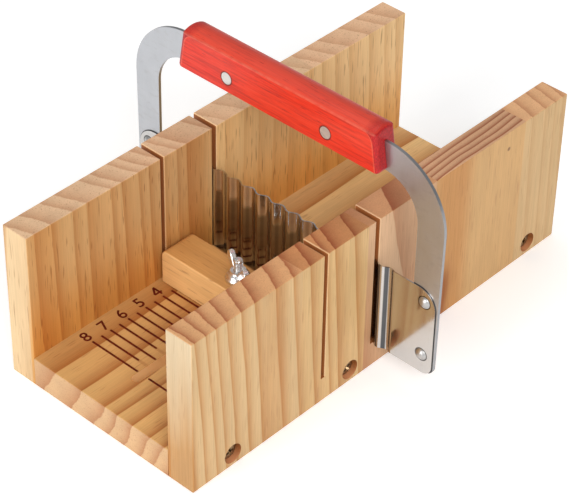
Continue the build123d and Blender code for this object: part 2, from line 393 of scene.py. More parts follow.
@dataclass(frozen=True)
class Stave:
    """One strip of pine in a glued board. Lengths are in millimetres.

    Attributes:
        start: where the strip begins across the board.
        rings: dark edges of its yearly rings, at the board's mark.
        early: colour of the soft part of a ring.
        late: colour of its dark edge.
        count: which way the rings follow each other.
        lean: how far a ring moves for each millimetre along the grain.
        slant: how far a ring moves for each millimetre through the board.
        slant_from: where the slant begins.
        slant_full: where it is whole.
        strength: how clearly the rings show.
        end: tint of its end grain, for its own tone; on the near wall's stave under the grip it
            is a painted shade.
    """

    start: float
    rings: tuple[float, ...]
    early: Colour
    late: Colour
    count: Count = Count.ACROSS
    lean: float = 0.0
    slant: float = 0.0
    slant_from: float = -400.0
    slant_full: float = -300.0
    strength: float = 1.0
    end: Colour = WHITE


@dataclass(frozen=True)
class PineFinish(Finish):
    """Sanded pine, glued up from staves, solid all the way through the piece.

    Attributes:
        grain: which way the fibres run.
        mark: where the rings were marked, through the board and along it.
        staves: the strips, in order across the board.
        end_early: colour of a soft ring where the grain is cut across.
        end_late: colour of a dark edge there.
        wander: how far the rings stray, in millimetres.
        ripple: how far they stray from fibre to fibre.
        sharp: how thin the dark edge of a ring is.
        dashes: how clearly the resin ducts show.
        slots: middle and half width of each saw slot along the box.
        slot_floor: height of the slots' floor.
        screws: place of each screw along the box.
        screw_height: height of the screws.
        bore: radius of their counterbores.
        bore_shade: half the distance over which a counterbore's painted light turns to painted
            shade.
        skin: where the wall's outer face is, away from the box's middle.
        inner: half the width that counts as inside the box.
        shaded: heights where the shade inside the box is whole and where it ends.
        deep: tint of the painted shade low inside the box, warmed as painted bounce light from
            board to board.
        sawn: tint of the painted light on the faces towards the box's two ends.
        knots: place along the box, height and radius of each pin knot.
        resin: middle, half width and share of each amber streak along the box.
        clouds: patches of tone to the millimetre: across, through and along.
        fibres: fibres to the millimetre in the same order.
        ducts: resin ducts to the millimetre in the same order.
        ring_rise: how suddenly a ring's dark edge begins, in millimetres.
        rough: roughness of the low and the high fibres.
        relief: height of the fibres in millimetres, and how much of it shows.
    """

    grain: Grain
    mark: tuple[float, float]
    staves: tuple[Stave, ...]
    end_early: Colour
    end_late: Colour
    wander: float = 1.0
    ripple: float = 1.1
    sharp: float = 1.7
    dashes: float = 0.5
    slots: tuple[tuple[float, float], ...] = ()
    slot_floor: float = 12.1
    screws: tuple[float, ...] = ()
    screw_height: float = 6.0
    bore: float = 4.5
    bore_shade: float = 4.0
    skin: float = 51.5
    inner: float = 39.5
    shaded: tuple[float, float] = (16.0, 58.0)
    deep: Colour = (1.0, 0.8, 0.52, 1.0)
    sawn: Colour = (0.92, 1.06, 1.34, 1.0)
    knots: tuple[Triple, ...] = ()
    resin: tuple[Triple, ...] = ()
    clouds: Triple = (0.035, 0.06, 0.012)
    fibres: Triple = (2.2, 2.2, 0.035)
    ducts: Triple = (1.7, 1.7, 0.11)
    ring_rise: float = 0.3
    rough: tuple[float, float] = (0.62, 0.5)
    relief: tuple[float, float] = (0.08, 0.6)

    def rings(self, sheet: Sheet, stave: Stave, run: list[Value], stray: Value) -> Value:
        """Gives how dark a stave's ring is at a place, from 0 to 1.

        Args:
            sheet: the sheet to write on.
            stave: the stave.
            run: place across the board, through it and along it.
            stray: how far the ring has strayed.

        Returns:
            The darkness.
        """
        across, through, along = run
        leaned = (along - self.mark[1]) * stave.lean
        if stave.count is Count.ACROSS:
            base = across
            depth = through - self.mark[0]
            slope = across.span(stave.slant_from, stave.slant_full, 0.0, stave.slant)
        else:
            base = through
            depth = across - stave.start
            slope = stave.slant
        place = base - leaned - depth * slope + stray
        low, high = stave.rings[0], stave.rings[-1]
        rise = self.ring_rise / (high - low)
        stops = []
        for ring in stave.rings[:-1]:
            spot = (ring - low) / (high - low)
            if stops:
                stops.append((spot - rise, 0.0))
            stops.append((spot, 1.0))
        stops.append((1.0, 0.0))
        return sheet.steps(place.span(low, high), stops)

    def paint(self, sheet: Sheet) -> dict[str, Number | Tint]:
        """Works out rings, end grain, fibres and marks.

        Args:
            sheet: the sheet to write on.

        Returns:
            What the shader's inputs get.
        """
        run = [(sheet.x, sheet.y, sheet.z)[axis] for axis in self.grain.value]
        slow, fine, duct = (sheet.join(*(part * rate for part, rate in zip(run, rates)))
                            for rates in (self.clouds, self.fibres, self.ducts))
        calm = (sheet.noise(slow, detail=1.0) - 0.5) * (4 * self.wander)
        stray = calm + (sheet.noise(fine, scale=0.22, detail=1.0) - 0.5) * self.ripple
        end_tint: Tint = self.staves[0].end
        for stave in self.staves:
            moved = calm if stave.count is Count.THROUGH else stray
            tone = self.rings(sheet, stave, run, moved) ** self.sharp * stave.strength
            shown = sheet.blend(tone, stave.early, stave.late)
            if stave is self.staves[0]:
                colour, dark = shown, tone
                continue
            here = run[0] > stave.start
            colour = sheet.blend(here, colour, shown)
            dark = sheet.blend(here, sheet.grey(dark), sheet.grey(tone))
            end_tint = sheet.blend(here, end_tint, stave.end)
        fibre = sheet.noise(fine, detail=3.0, rough=0.6)
        patch = sheet.noise(slow, scale=2.3, detail=3.0, rough=0.55)
        pores = sheet.noise(duct, scale=2.6, detail=2.0, rough=0.7)
        end = sheet.blend(dark, self.end_early, self.end_late)
        end = sheet.blend(pores.span(0.4, 0.74, 0.0, 0.22), end, self.end_late)
        end = sheet.tint(end, end_tint)
        colour = sheet.blend(sheet.ends(self.grain.value[2]), colour, end)
        veil = sheet.tint(sheet.grey(fibre.span(0.2, 0.8, 0.86, 1.08)),
                          sheet.grey(patch.span(0.25, 0.75, 0.92, 1.06)))
        colour = sheet.tint(colour, veil)
        dash = sheet.noise(duct, detail=0.0).span(0.68, 0.8, 0.0, self.dashes, soft=True)
        colour = sheet.blend(dash, colour, RESIN_DUCT)
        return {"Base Color": self.marks(sheet, colour),
                "Roughness": fibre.span(0.3, 0.7, *self.rough), "Specular IOR Level": 0.35,
                "Normal": sheet.bump(fibre - dash * 0.8, self.relief)}

    def marks(self, sheet: Sheet, colour: Value) -> Value:
        """Adds painted shade low inside the box, painted light on the faces towards its ends,
        amber streaks, knots, the saw slots' painted highlight and shade, and painted light and
        shade in the counterbores.

        Args:
            sheet: the sheet to write on.
            colour: the board's colour so far.

        Returns:
            The colour with its marks.
        """
        x, y, z = sheet.x, sheet.y, sheet.z
        # Painted shade low inside the box, warmed as painted bounce light.
        low = z.span(*self.shaded, 1.0, 0.0, soft=True) * (abs(y) < self.inner)
        colour = sheet.blend(low, colour, sheet.tint(colour, self.deep))
        amber = sheet.tint(colour, AMBER_TINT)
        for middle, half, share in self.resin:
            strip = abs(x - middle).span(half * 0.3, half, share, 0.0, soft=True)
            cut = sheet.math("MAXIMUM", sheet.ends(2), sheet.ends(0))
            colour = sheet.blend(strip * cut.span(0.0, 1.0, 1.0, 0.0), colour, amber)
        # Painted light on the faces towards the box's ends.
        colour = sheet.blend(sheet.ends(0), colour, sheet.tint(colour, self.sawn))
        for middle, height, radius in self.knots:
            away = sheet.distance(x - middle, z - height)
            knot = away.span(radius * 0.5, radius * 1.3, 0.75, 0.0, soft=True)
            colour = sheet.blend(knot, colour, PIN_KNOT)
        # The saw slots get a painted highlight at their mouths and painted shade inside, above
        # the slots' floor.
        sawn = z > self.slot_floor - HAIR
        for middle, half in self.slots:
            away = abs(x - middle)
            mouth = away.span(half + 0.1, half + 0.6, 0.5, 0.0, soft=True)
            colour = sheet.blend(mouth * sawn, colour, SAW_MOUTH_PAINTED_HIGHLIGHT)
            colour = sheet.blend((away < half + HAIR) * sawn, colour, SAW_SLOT_PAINTED_SHADE)
        # The counterbores get painted light low on one side and painted shade across from it.
        for middle in self.screws:
            away = sheet.distance(x - middle, z - self.screw_height)
            inside = (away < self.bore + HAIR) * (abs(y) < self.skin - HAIR)
            dim = (z + (x - middle)).span(self.screw_height - self.bore_shade,
                                          self.screw_height + self.bore_shade)
            bore_lighting = sheet.blend(dim, BORE_PAINTED_LIGHT, BORE_PAINTED_SHADE)
            colour = sheet.blend(inside, colour, bore_lighting)
        return colour


@dataclass(frozen=True)
class ScaleFloorFinish(PineFinish):
    """Pine with the soft brown scorch beside burnt scale lines. Lengths are in millimetres.

    Attributes:
        zero: where the scale's nought is along the floor.
        last: where the last line is.
        gap: distance from line to line.
        side: where the lines and numerals lie across the floor.
        top: the floor's upper face.
        groove: half the width of the stop's slot, with a little to spare.
        groove_ends: places in front of that slot and behind it.
        far: where the painted light on the floor behind the blade begins, and where it is whole.
        lit: tint of the painted light on the floor there.
        scorch: how strong the scorch is.
    """

    zero: float = -8.5
    last: float = -88.5
    gap: float = 5.0
    side: tuple[float, float] = (2.6, 29.0)
    top: float = 14.0
    groove: float = 2.3
    groove_ends: tuple[float, float] = (-95.0, -10.0)
    far: tuple[float, float] = (-2.0, 40.0)
    lit: Colour = (1.36, 1.62, 2.1, 1.0)
    scorch: float = 0.34

    def marks(self, sheet: Sheet, colour: Value) -> Value:
        """Browns the wood beside the burnt lines, and puts painted light in the slot and on the
        far floor.

        Args:
            sheet: the sheet to write on.
            colour: the board's colour so far.

        Returns:
            The colour with its marks.
        """
        x, y, z = sheet.x, sheet.y, sheet.z
        near = sheet.math("PINGPONG", (x - self.zero) / self.gap, 0.5)
        glow = near.span(0.06, 0.24, self.scorch, 0.0, soft=True)
        for place, start, full in ((x, self.last - 0.8, self.last + 0.4),
                                   (y, self.side[0] - 0.8, self.side[0] + 0.8),
                                   (z, self.top - 1.0, self.top - 0.5),
                                   (y, self.side[1] + 1.0, self.side[1]),
                                   (x, self.zero - 4.5, self.zero - 5.5)):
            glow = glow * place.span(start, full)
        colour = sheet.blend(glow, colour, SCORCH)
        # Painted light on the floor behind the blade.
        far = x.span(*self.far, soft=True)
        colour = sheet.blend(far, colour, sheet.tint(colour, self.lit))
        # Painted light inside the stop's slot.
        start, end = self.groove_ends
        inside = (abs(y) < self.groove) * (z < self.top - HAIR) * (x > start) * (x < end)
        return sheet.blend(inside, colour, GROOVE_PAINTED_LIGHT)


@dataclass(frozen=True)
class RedWoodFinish(Finish):
    """Hardwood stained red under a satin lacquer, with its grain along the grip.

    Attributes:
        reach: half the front face's length at its foot, in millimetres.
        foot: height of the grip's foot.
        rake: how much shorter each end gets with each millimetre of height.
        front: the grip's front face.
        shoulder: height where the crown begins.
        pins: half the distance between the pins, and their height.
        pin_radius: the pins' radius.
        corner: how far the stain's edge is rounded at the front face's top corners.
        face: colour of the plain wood.
        streak: colour of the darker grain.
        pale: colour of the lighter wood, which above the shoulder is also a painted sheen on the
            crown.
        end: colour where the grain is cut across.
        rough: roughness of the low and the high grain.
        relief: height of the grain in millimetres, and how much of it shows.
    """

    reach: float
    foot: float
    rake: float
    front: float
    shoulder: float
    pins: tuple[float, float]
    pin_radius: float = 2.65
    corner: float = 4.5
    face: Colour = shade(214, 40, 12)
    streak: Colour = shade(160, 26, 18)
    pale: Colour = shade(222, 80, 58)
    end: Colour = shade(142, 4, 8)
    rough: tuple[float, float] = (0.34, 0.46)
    relief: tuple[float, float] = (0.12, 0.6)

    def paint(self, sheet: Sheet) -> dict[str, Number | Tint]:
        """Works out the stained grain, its cut ends, the painted sheen on its crown, the painted
        highlight on its edges and the painted shade round its pins.

        Args:
            sheet: the sheet to write on.

        Returns:
            What the shader's inputs get.
        """
        streaks = sheet.noise((1.1, 0.06, 1.1), detail=4.0, rough=0.62, bend=0.25)
        cloudy = sheet.noise((0.09, 0.03, 0.12), detail=2.0)
        pores = sheet.noise((2.2, 0.16, 2.2), detail=1.0)
        dots = sheet.noise((1.6, 1.6, 1.1), detail=3.0, rough=0.7)
        colour = sheet.blend(streaks.span(0.46, 0.68, 0.0, 0.85), self.face, self.streak)
        # The lighter wood follows the grain and the clouds; above the shoulder it is a painted
        # sheen on the crown.
        for share in (streaks.span(0.44, 0.28, 0.0, 0.5),
                      sheet.z.span(self.shoulder, self.shoulder + 0.4, 0.0, 0.5),
                      cloudy.span(0.35, 0.7, 0.0, 0.3)):
            colour = sheet.blend(share, colour, self.pale)
        specks = pores.span(0.66, 0.76, 0.0, 0.6, soft=True)
        colour = sheet.blend(specks, colour, RED_SPECK)
        height = sheet.z - self.foot
        reach = abs(sheet.y) + height * self.rake + self.rounding(sheet, height)
        over = sheet.z.span(self.shoulder, self.shoulder + 0.5)
        cut = reach.span(self.reach, over * 3.0 + (self.reach + 0.3))
        cut = sheet.math("MAXIMUM", cut * over.span(0.0, 1.0, 1.0, 0.6), sheet.ends(1))
        end = sheet.blend(dots.span(0.35, 0.7), self.end, RED_END_PALE)
        colour = sheet.blend(cut, colour, end)
        # Painted highlight along the front face's edges.
        colour = sheet.blend(self.rim(sheet, reach), colour, RED_EDGE_PAINTED_HIGHLIGHT)
        # Painted shade in a ring round each pin.
        away = sheet.distance(abs(sheet.y) - self.pins[0], sheet.z - self.pins[1])
        ring = away.span(self.pin_radius + 0.25, self.pin_radius + 0.8, 0.9, 0.0)
        return {"Base Color": sheet.blend(ring, colour, PIN_PAINTED_SHADE),
                "Roughness": streaks.span(0.3, 0.7, *self.rough), "Specular IOR Level": 0.3,
                "Coat Weight": 0.1, "Coat Roughness": 0.3,
                "Normal": sheet.bump(streaks - specks * 0.8, self.relief)}

    def rounding(self, sheet: Sheet, height: Value) -> Value:
        """Gives how far the front face's end curves in towards its top corner.

        Args:
            sheet: the sheet to write on.
            height: height above the grip's foot.

        Returns:
            The distance in millimetres.
        """
        top = self.shoulder - self.foot
        rise = height.span(top - self.corner, top)
        return (1.0 - sheet.math("SQRT", 1.0 - rise * rise)) * self.corner

    def rim(self, sheet: Sheet, reach: Value) -> Value:
        """Gives where a painted highlight runs along the front face's edges.

        Args:
            sheet: the sheet to write on.
            reach: place along the grip against the front face's end.

        Returns:
            The share of painted highlight.
        """
        end = abs(reach - (self.reach - 0.1)).span(0.1, 0.45, 1.0, 0.0, soft=True)
        top = abs(sheet.z - self.shoulder).span(0.2, 0.75, 1.0, 0.0, soft=True)
        # Noise breaks up the painted highlight.
        patchy = sheet.noise((0.3, 0.3, 0.3), detail=2.0)
        edge = sheet.math("MAXIMUM", end, top) * patchy.span(0.3, 0.6, 0.45, 1.0)
        return edge * sheet.x.span(self.front + 0.3, self.front + 1.0, 0.4, 0.0)


@dataclass(frozen=True)
class SteelFinish(Finish):
    """Bare or plated steel. Lengths are in millimetres.

    Attributes:
        tone: the metal's colour.
        rough: its roughness, at its smoothest and its roughest.
        brush: which way it was brushed.
        relief: how deep the brushing is, and how much of it shows.
        cloud: how much its tone varies.
        stain: colour of the dull film in places.
        film: how much of that film there is.
        bands: place across the sheet, half width and depth of each painted dark reflection.
        ribs: distance from rib to rib of a wavy sheet, and how dark the painted reflection on
            its flanks is.
        ribs_end: how far across the sheet the ribs reach.
        seats: place across the sheet, height and radius of each rivet round which a painted
            shadow runs.
        edge: how bright its cut edges are.
        lap: outer edge, top and corner of the sheet that lies on it, along which a painted
            shadow runs.
    """

    tone: Colour
    rough: tuple[float, float]
    brush: Brush = Brush.NONE
    relief: tuple[float, float] = (0.004, 0.5)
    cloud: float = 0.06
    stain: Colour = shade(120, 112, 100)
    film: float = 0.15
    bands: tuple[Triple, ...] = ()
    ribs: tuple[float, float] | None = None
    ribs_end: float = 52.5
    seats: tuple[Triple, ...] = ()
    edge: float = 1.0
    lap: Triple | None = None

    def paint(self, sheet: Sheet) -> dict[str, Number | Tint]:
        """Works out the brushed metal, its dull film, and its painted reflections and shadows.

        Args:
            sheet: the sheet to write on.

        Returns:
            What the shader's inputs get.
        """
        hairs = sheet.noise(tuple(6 * part for part in self.brush.value), detail=3.0, rough=0.7)
        clouds = sheet.noise((0.12, 0.12, 0.12), detail=4.0, rough=0.6)
        smears = sheet.noise((0.35, 0.2, 0.5), detail=3.0, rough=0.55, bend=0.6)
        level = (hairs.span(0.25, 0.75, 1 - self.cloud, 1 + self.cloud / 2)
                 * clouds.span(0.3, 0.7, 1 - self.cloud, 1.0))
        dull = smears.span(0.52, 0.8, 0.0, self.film, soft=True)
        colour = sheet.blend(dull, sheet.tint(self.tone, sheet.grey(level)), self.stain)
        return {"Base Color": self.reflections(sheet, colour), "Metallic": 1.0,
                "Roughness": hairs.span(0.3, 0.7, *self.rough) + dull * 0.35,
                "Normal": sheet.bump(hairs, self.relief)}

    def reflections(self, sheet: Sheet, colour: Value) -> Value:
        """Adds painted dark reflections, painted shadows round the rivets and along the sheet
        that lies on it, and darker edges.

        Args:
            sheet: the sheet to write on.
            colour: the metal's colour so far.

        Returns:
            The colour with its dark places.
        """
        across = abs(sheet.y)
        # Painted dark reflections beside the bends.
        for middle, half, depth in self.bands:
            band = abs(across - middle).span(half, half + 0.45, depth, 0.0, soft=True)
            colour = sheet.blend(band, colour, BEND_PAINTED_REFLECTION)
        # Painted dark reflections on the ribs' flanks.
        if self.ribs:
            turn = sheet.math("PINGPONG", sheet.y / self.ribs[0], 0.5)
            flank = turn.span(0.26, 0.42, 0.0, self.ribs[1], soft=True)
            colour = sheet.blend(flank * (across < self.ribs_end), colour, RIB_PAINTED_REFLECTION)
        # Painted shadow round each rivet.
        for middle, height, radius in self.seats:
            away = sheet.distance(across - middle, sheet.z - height)
            ring = away.span(radius + 0.25, radius + 0.6, 0.9, 0.0, soft=True)
            colour = sheet.blend(ring, colour, RIVET_PAINTED_SHADOW)
        # Painted shadow on the bow along the edge of the sheet that lies on it.
        if self.lap:
            outer, top, corner = self.lap
            beside = sheet.math("MAXIMUM", across - (outer - corner), 0.0)
            above = sheet.math("MAXIMUM", sheet.z - (top - corner), 0.0)
            away = sheet.distance(beside, above)
            line = away.span(corner + 0.3, corner + 0.55, 0.85, 0.0, soft=True)
            colour = sheet.blend(line, colour, LAP_PAINTED_SHADOW)
        return sheet.tint(colour, sheet.grey(sheet.ends(0).span(0.0, 1.0, self.edge, 1.0)))


@dataclass(frozen=True)
class BurntFinish(Finish):
    """Wood burnt dark red-brown by a hot stamp.

    Attributes:
        core: colour of the deepest burn.
        edge: colour where the burn is weak.
        rough: roughness of the thin and the thick soot.
        relief: height of the soot in millimetres, and how much of it shows.
    """

    core: Colour = shade(84, 16, 4)
    edge: Colour = shade(122, 42, 14)
    rough: tuple[float, float] = (0.72, 0.9)
    relief: tuple[float, float] = (0.1, 0.7)

    def paint(self, sheet: Sheet) -> dict[str, Number | Tint]:
        """Works out the sooty burn.

        Args:
            sheet: the sheet to write on.

        Returns:
            What the shader's inputs get.
        """
        soot = sheet.noise((0.25, 0.9, 0.9), detail=4.0, rough=0.65)
        return {"Base Color": sheet.blend(soot.span(0.4, 0.68), self.core, self.edge),
                "Roughness": soot.span(0.3, 0.7, *self.rough), "Specular IOR Level": 0.2,
                "Normal": sheet.bump(soot, self.relief)}


@dataclass(frozen=True)
class TableFinish(Finish):
    """White paper that gives a little light of its own, its glow."""

    glow: float

    def paint(self, sheet: Sheet) -> dict[str, Number | Tint]:
        """Works out the faintly clouded white.

        Args:
            sheet: the sheet to write on.

        Returns:
            What the shader's inputs get.
        """
        dust = sheet.noise((0.01, 0.01, 0.01), detail=2.0)
        return {"Base Color": sheet.grey(dust.span(0.3, 0.7, 0.93, 0.95)), "Roughness": 0.8,
                "Emission Color": WHITE, "Emission Strength": self.glow}


def link(name: str, data: bpy.types.ID) -> bpy.types.Object:
    """Puts something in the scene as an object.

    Args:
        name: the object's name.
        data: its mesh, curve, light or camera.

    Returns:
        The object.
    """
    thing = bpy.data.objects.new(name, data)
    bpy.context.scene.collection.objects.link(thing)
    return thing


def place_mesh(name: str, shape: Mesh, finish: Material, body: str,
               smooth: float = 30.0) -> bpy.types.Object:
    """Makes a finished bmesh an object that rides on a body.

    Args:
        name: the piece's name.
        shape: its mesh, in millimetres, which is used up.
        finish: its material.
        body: the body it rides on.
        smooth: edges flatter than this are shaded smooth, in degrees.

    Returns:
        The new object.
    """
    bmesh.ops.remove_doubles(shape, verts=shape.verts, dist=0.0005)
    bmesh.ops.recalc_face_normals(shape, faces=shape.faces)
    bmesh.ops.scale(shape, vec=(MM, MM, MM), verts=shape.verts)
    limit = math.radians(smooth)
    for face in shape.faces:
        face.smooth = True
    for edge in shape.edges:
        edge.smooth = len(edge.link_faces) == 2 and edge.calc_face_angle(0.0) < limit
    mesh = bpy.data.meshes.new(name)
    shape.to_mesh(mesh)
    shape.free()
    mesh.materials.append(finish)
    piece = link(name, mesh)
    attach(piece, body)
    log.info("piece %s: %d faces, on %s", name, len(mesh.polygons), body)
    return piece


def dress(node: str, finish: Material) -> None:
    """Gives a CAD node its finish.

    Args:
        node: the node's name.
        finish: the material.
    """
    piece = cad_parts[node]
    piece.data.materials.clear()
    piece.data.materials.append(finish)
    log.info("node %s: finish %s", node, finish.name)


@dataclass(frozen=True)
class Lamp:
    """Square soft light: its middle and side in millimetres, and its power in watts."""

    name: str
    place: Triple
    side: float
    power: float


@dataclass
class Studio:
    """White table, soft light and the camera. Lengths are in millimetres.

    Attributes:
        eye: the camera's place.
        azimuth: the camera's turn about the upright axis, in degrees.
        elevation: its height above the table, in degrees.
        roll: its tilt about its own axis, in degrees.
        lens: its focal length.
        film: the width of its film.
        depth: nearest and farthest place that it sees, in metres.
        table_half: half the table's side.
        table_drop: how far the table lies under the box.
        table_glow: how much light the table gives of its own.
        aim: what the lamps face.
        room: strength of the light from all round.
        lamps: the lamps.
    """

    eye: Triple = (-550.605, -495.539, 618.044)
    azimuth: float = -47.695
    elevation: float = 38.569
    roll: float = 1.12
    lens: float = 144.0
    film: float = 36.0
    depth: tuple[float, float] = (0.01, 20.0)
    table_half: float = 3000.0
    table_drop: float = 0.1
    table_glow: float = 0.3
    aim: Triple = (0.0, 0.0, 50.0)
    room: float = 0.4
    lamps: tuple[Lamp, ...] = (Lamp("camera_side", (-820.0, -1130.0, 1050.0), 700.0, 13.4),
                               Lamp("scale_side", (-1600.0, 60.0, 560.0), 700.0, 12.0),
                               Lamp("top", (200.0, 300.0, 1600.0), 900.0, 4.5))

    def camera(self) -> None:
        """Sets the camera where the photograph was taken from."""
        turn, rise = math.radians(self.azimuth), math.radians(self.elevation)
        right = Vector((math.cos(turn), math.sin(turn), 0.0))
        up = Vector((-math.sin(turn) * math.sin(rise), math.cos(turn) * math.sin(rise),
                     math.cos(rise)))
        axes = Matrix((right, up, right.cross(up))).transposed().to_4x4()
        roll = Matrix.Rotation(math.radians(self.roll), 4, "Z")
        data = bpy.data.cameras.new("camera")
        data.lens = self.lens
        data.sensor_width = self.film
        data.clip_start, data.clip_end = self.depth
        eye = link("camera", data)
        eye.matrix_world = Matrix.Translation(Vector(self.eye) * MM) @ axes @ roll
        bpy.context.scene.camera = eye
        log.info("camera at %s mm, lens %.0f mm", self.eye, self.lens)

    def table(self) -> None:
        """Lays the white table under the box."""
        shape = bmesh.new()
        bmesh.ops.create_grid(shape, x_segments=1, y_segments=1, size=self.table_half * MM)
        bmesh.ops.translate(shape, vec=(0, 0, -self.table_drop * MM), verts=shape.verts)
        mesh = bpy.data.meshes.new("table")
        shape.to_mesh(mesh)
        shape.free()
        mesh.materials.append(TableFinish("white_table", self.table_glow).build())
        table = link("table", mesh)
        log.info("table laid")

    def hang(self, lamp: Lamp) -> None:
        """Hangs a lamp so that it faces the box.

        Args:
            lamp: the lamp.
        """
        data = bpy.data.lights.new(lamp.name, "AREA")
        data.shape = "SQUARE"
        data.size = lamp.side * MM
        data.energy = lamp.power
        middle = Vector(lamp.place) * MM
        aim = (Vector(self.aim) * MM - middle).to_track_quat("-Z", "Y")
        light = link(lamp.name, data)
        light.matrix_world = Matrix.Translation(middle) @ aim.to_matrix().to_4x4()
        log.info("light %s at %s mm", lamp.name, lamp.place)

    def build(self) -> None:
        """Sets up camera, table, room and lamps."""
        self.camera()
        self.table()
        world = bpy.data.worlds.new("room")
        world.use_nodes = True
        glow = world.node_tree.nodes["Background"]
        glow.inputs["Color"].default_value = WHITE
        glow.inputs["Strength"].default_value = self.room
        bpy.context.scene.world = world
        for lamp in self.lamps:
            self.hang(lamp)
        bpy.context.scene.view_settings.view_transform = "Standard"
        bpy.context.scene.view_settings.look = "None"


@dataclass
class WallScrew:
    """Pan head screw with a cross recess. Lengths are in millimetres.

    Attributes:
        head_radius: the head's radius.
        head_height: the head's height.
        seat_depth: from the plain head's outer face down to its seat.
        rim_height: height of the head's upright rim.
        crown: share of the radius, and drop, of each ring of its rounded top.
        cross_reach: how far each arm of the cross reaches.
        cross_half: half an arm's width.
        cross_depth: how deep the cross goes.
        cross_foot: size of its floor against its mouth.
        shank_radius: the shank's radius.
        tip_radius: the point's radius.
        length: length from the head's seat to the point.
        point: length of the point.
        facets: facets round the head.
        turn: how far the screws are turned, in radians, and how much more with each millimetre.
    """

    head_radius: float = 3.8
    head_height: float = 3.3
    seat_depth: float = 2.0
    rim_height: float = 2.4
    crown: tuple[tuple[float, float], ...] = ((0.74, 0.12), (0.9, 0.42))
    cross_reach: float = 2.05
    cross_half: float = 0.5
    cross_depth: float = 1.2
    cross_foot: float = 0.62
    shank_radius: float = 1.8
    tip_radius: float = 0.15
    length: float = 26.0
    point: float = 5.0
    facets: int = 48
    turn: tuple[float, float] = (0.35, 0.7)

    def cross(self, shape: Mesh) -> list[bmesh.types.BMEdge]:
        """Sinks the cross recess from the head's top.

        Args:
            shape: the bmesh to add to.

        Returns:
            The recess's edges round its mouth.
        """
        made = bmesh.ops.create_grid(shape, x_segments=3, y_segments=3, size=self.cross_reach)
        arm = self.cross_reach * 2 / 3
        for vertex in made["verts"]:
            for axis in (0, 1):
                if abs(vertex.co[axis]) < arm:
                    vertex.co[axis] = math.copysign(self.cross_half, vertex.co[axis])
            vertex.co.z = self.head_height
        corners = [face for face in shape.faces
                   if min(abs(part) for part in face.calc_center_median()[:2]) > self.cross_half]
        bmesh.ops.delete(shape, geom=corners, context="FACES")
        mouth = [edge for edge in shape.edges if len(edge.link_faces) == 1]
        loose = [vertex for vertex in shape.verts if not vertex.link_faces]
        bmesh.ops.delete(shape, geom=loose, context="VERTS")
        lid = list(shape.faces)
        sunk = bmesh.ops.extrude_face_region(shape, geom=lid)
        floor = {part for part in sunk["geom"] if isinstance(part, bmesh.types.BMVert)}
        lid = [face for face in shape.faces if not floor.intersection(face.verts)]
        bmesh.ops.delete(shape, geom=lid, context="FACES_ONLY")
        bmesh.ops.translate(shape, vec=(0, 0, -self.cross_depth), verts=list(floor))
        bmesh.ops.scale(shape, vec=(self.cross_foot, self.cross_foot, 1.0), verts=list(floor))
        return [edge for edge in mouth if edge.is_valid]

    def turned(self, shape: Mesh, mouth: list[bmesh.types.BMEdge]) -> None:
        """Adds the round head and shank round the recess.

        Args:
            shape: the bmesh to add to.
            mouth: the recess's edges.
        """
        outline = [(self.head_radius * share, self.head_height - drop)
                   for share, drop in self.crown]
        outline += [(self.head_radius, self.rim_height), (self.head_radius, 0.0),
                    (self.shank_radius, 0.0), (self.shank_radius, self.point - self.length),
                    (self.tip_radius, -self.length)]
        divided = bmesh.ops.subdivide_edges(shape, edges=mouth, cuts=3)
        ring = [part for part in divided["geom_split"] if isinstance(part, bmesh.types.BMEdge)]
        for radius, height in outline:
            circle = bmesh.ops.create_circle(shape, segments=self.facets, radius=radius)
            verts = circle["verts"]
            bmesh.ops.translate(shape, vec=(0, 0, height), verts=verts)
            chosen = set(verts)
            edges = [edge for edge in shape.edges if set(edge.verts) <= chosen]
            bmesh.ops.bridge_loops(shape, edges=ring + edges)
            ring = edges
        bmesh.ops.contextual_create(shape, geom=ring)

    def build(self, name: str, wall: str, finish: Material) -> None:
        """Builds one screw in place of its CAD node.

        Args:
            name: the CAD node's name, which the screw replaces.
            wall: "near" or "far".
            finish: its material.
        """
        low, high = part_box(name)
        middle = (low + high) / 2 / MM
        outward = -1.0 if wall == "near" else 1.0
        edge = (low.y if wall == "near" else high.y) / MM
        shape = bmesh.new()
        self.turned(shape, self.cross(shape))
        spin = Matrix.Rotation(self.turn[0] + self.turn[1] * middle.x, 4, "Z")
        upright = Matrix.Rotation(-outward * math.pi / 2, 4, "X")
        seat = Vector((middle.x, edge - outward * self.seat_depth, middle.z))
        bmesh.ops.transform(shape, matrix=Matrix.Translation(seat) @ upright @ spin,
                            verts=shape.verts)
        piece = place_mesh(name + "_cross_head", shape, finish, "box")
        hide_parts(name)


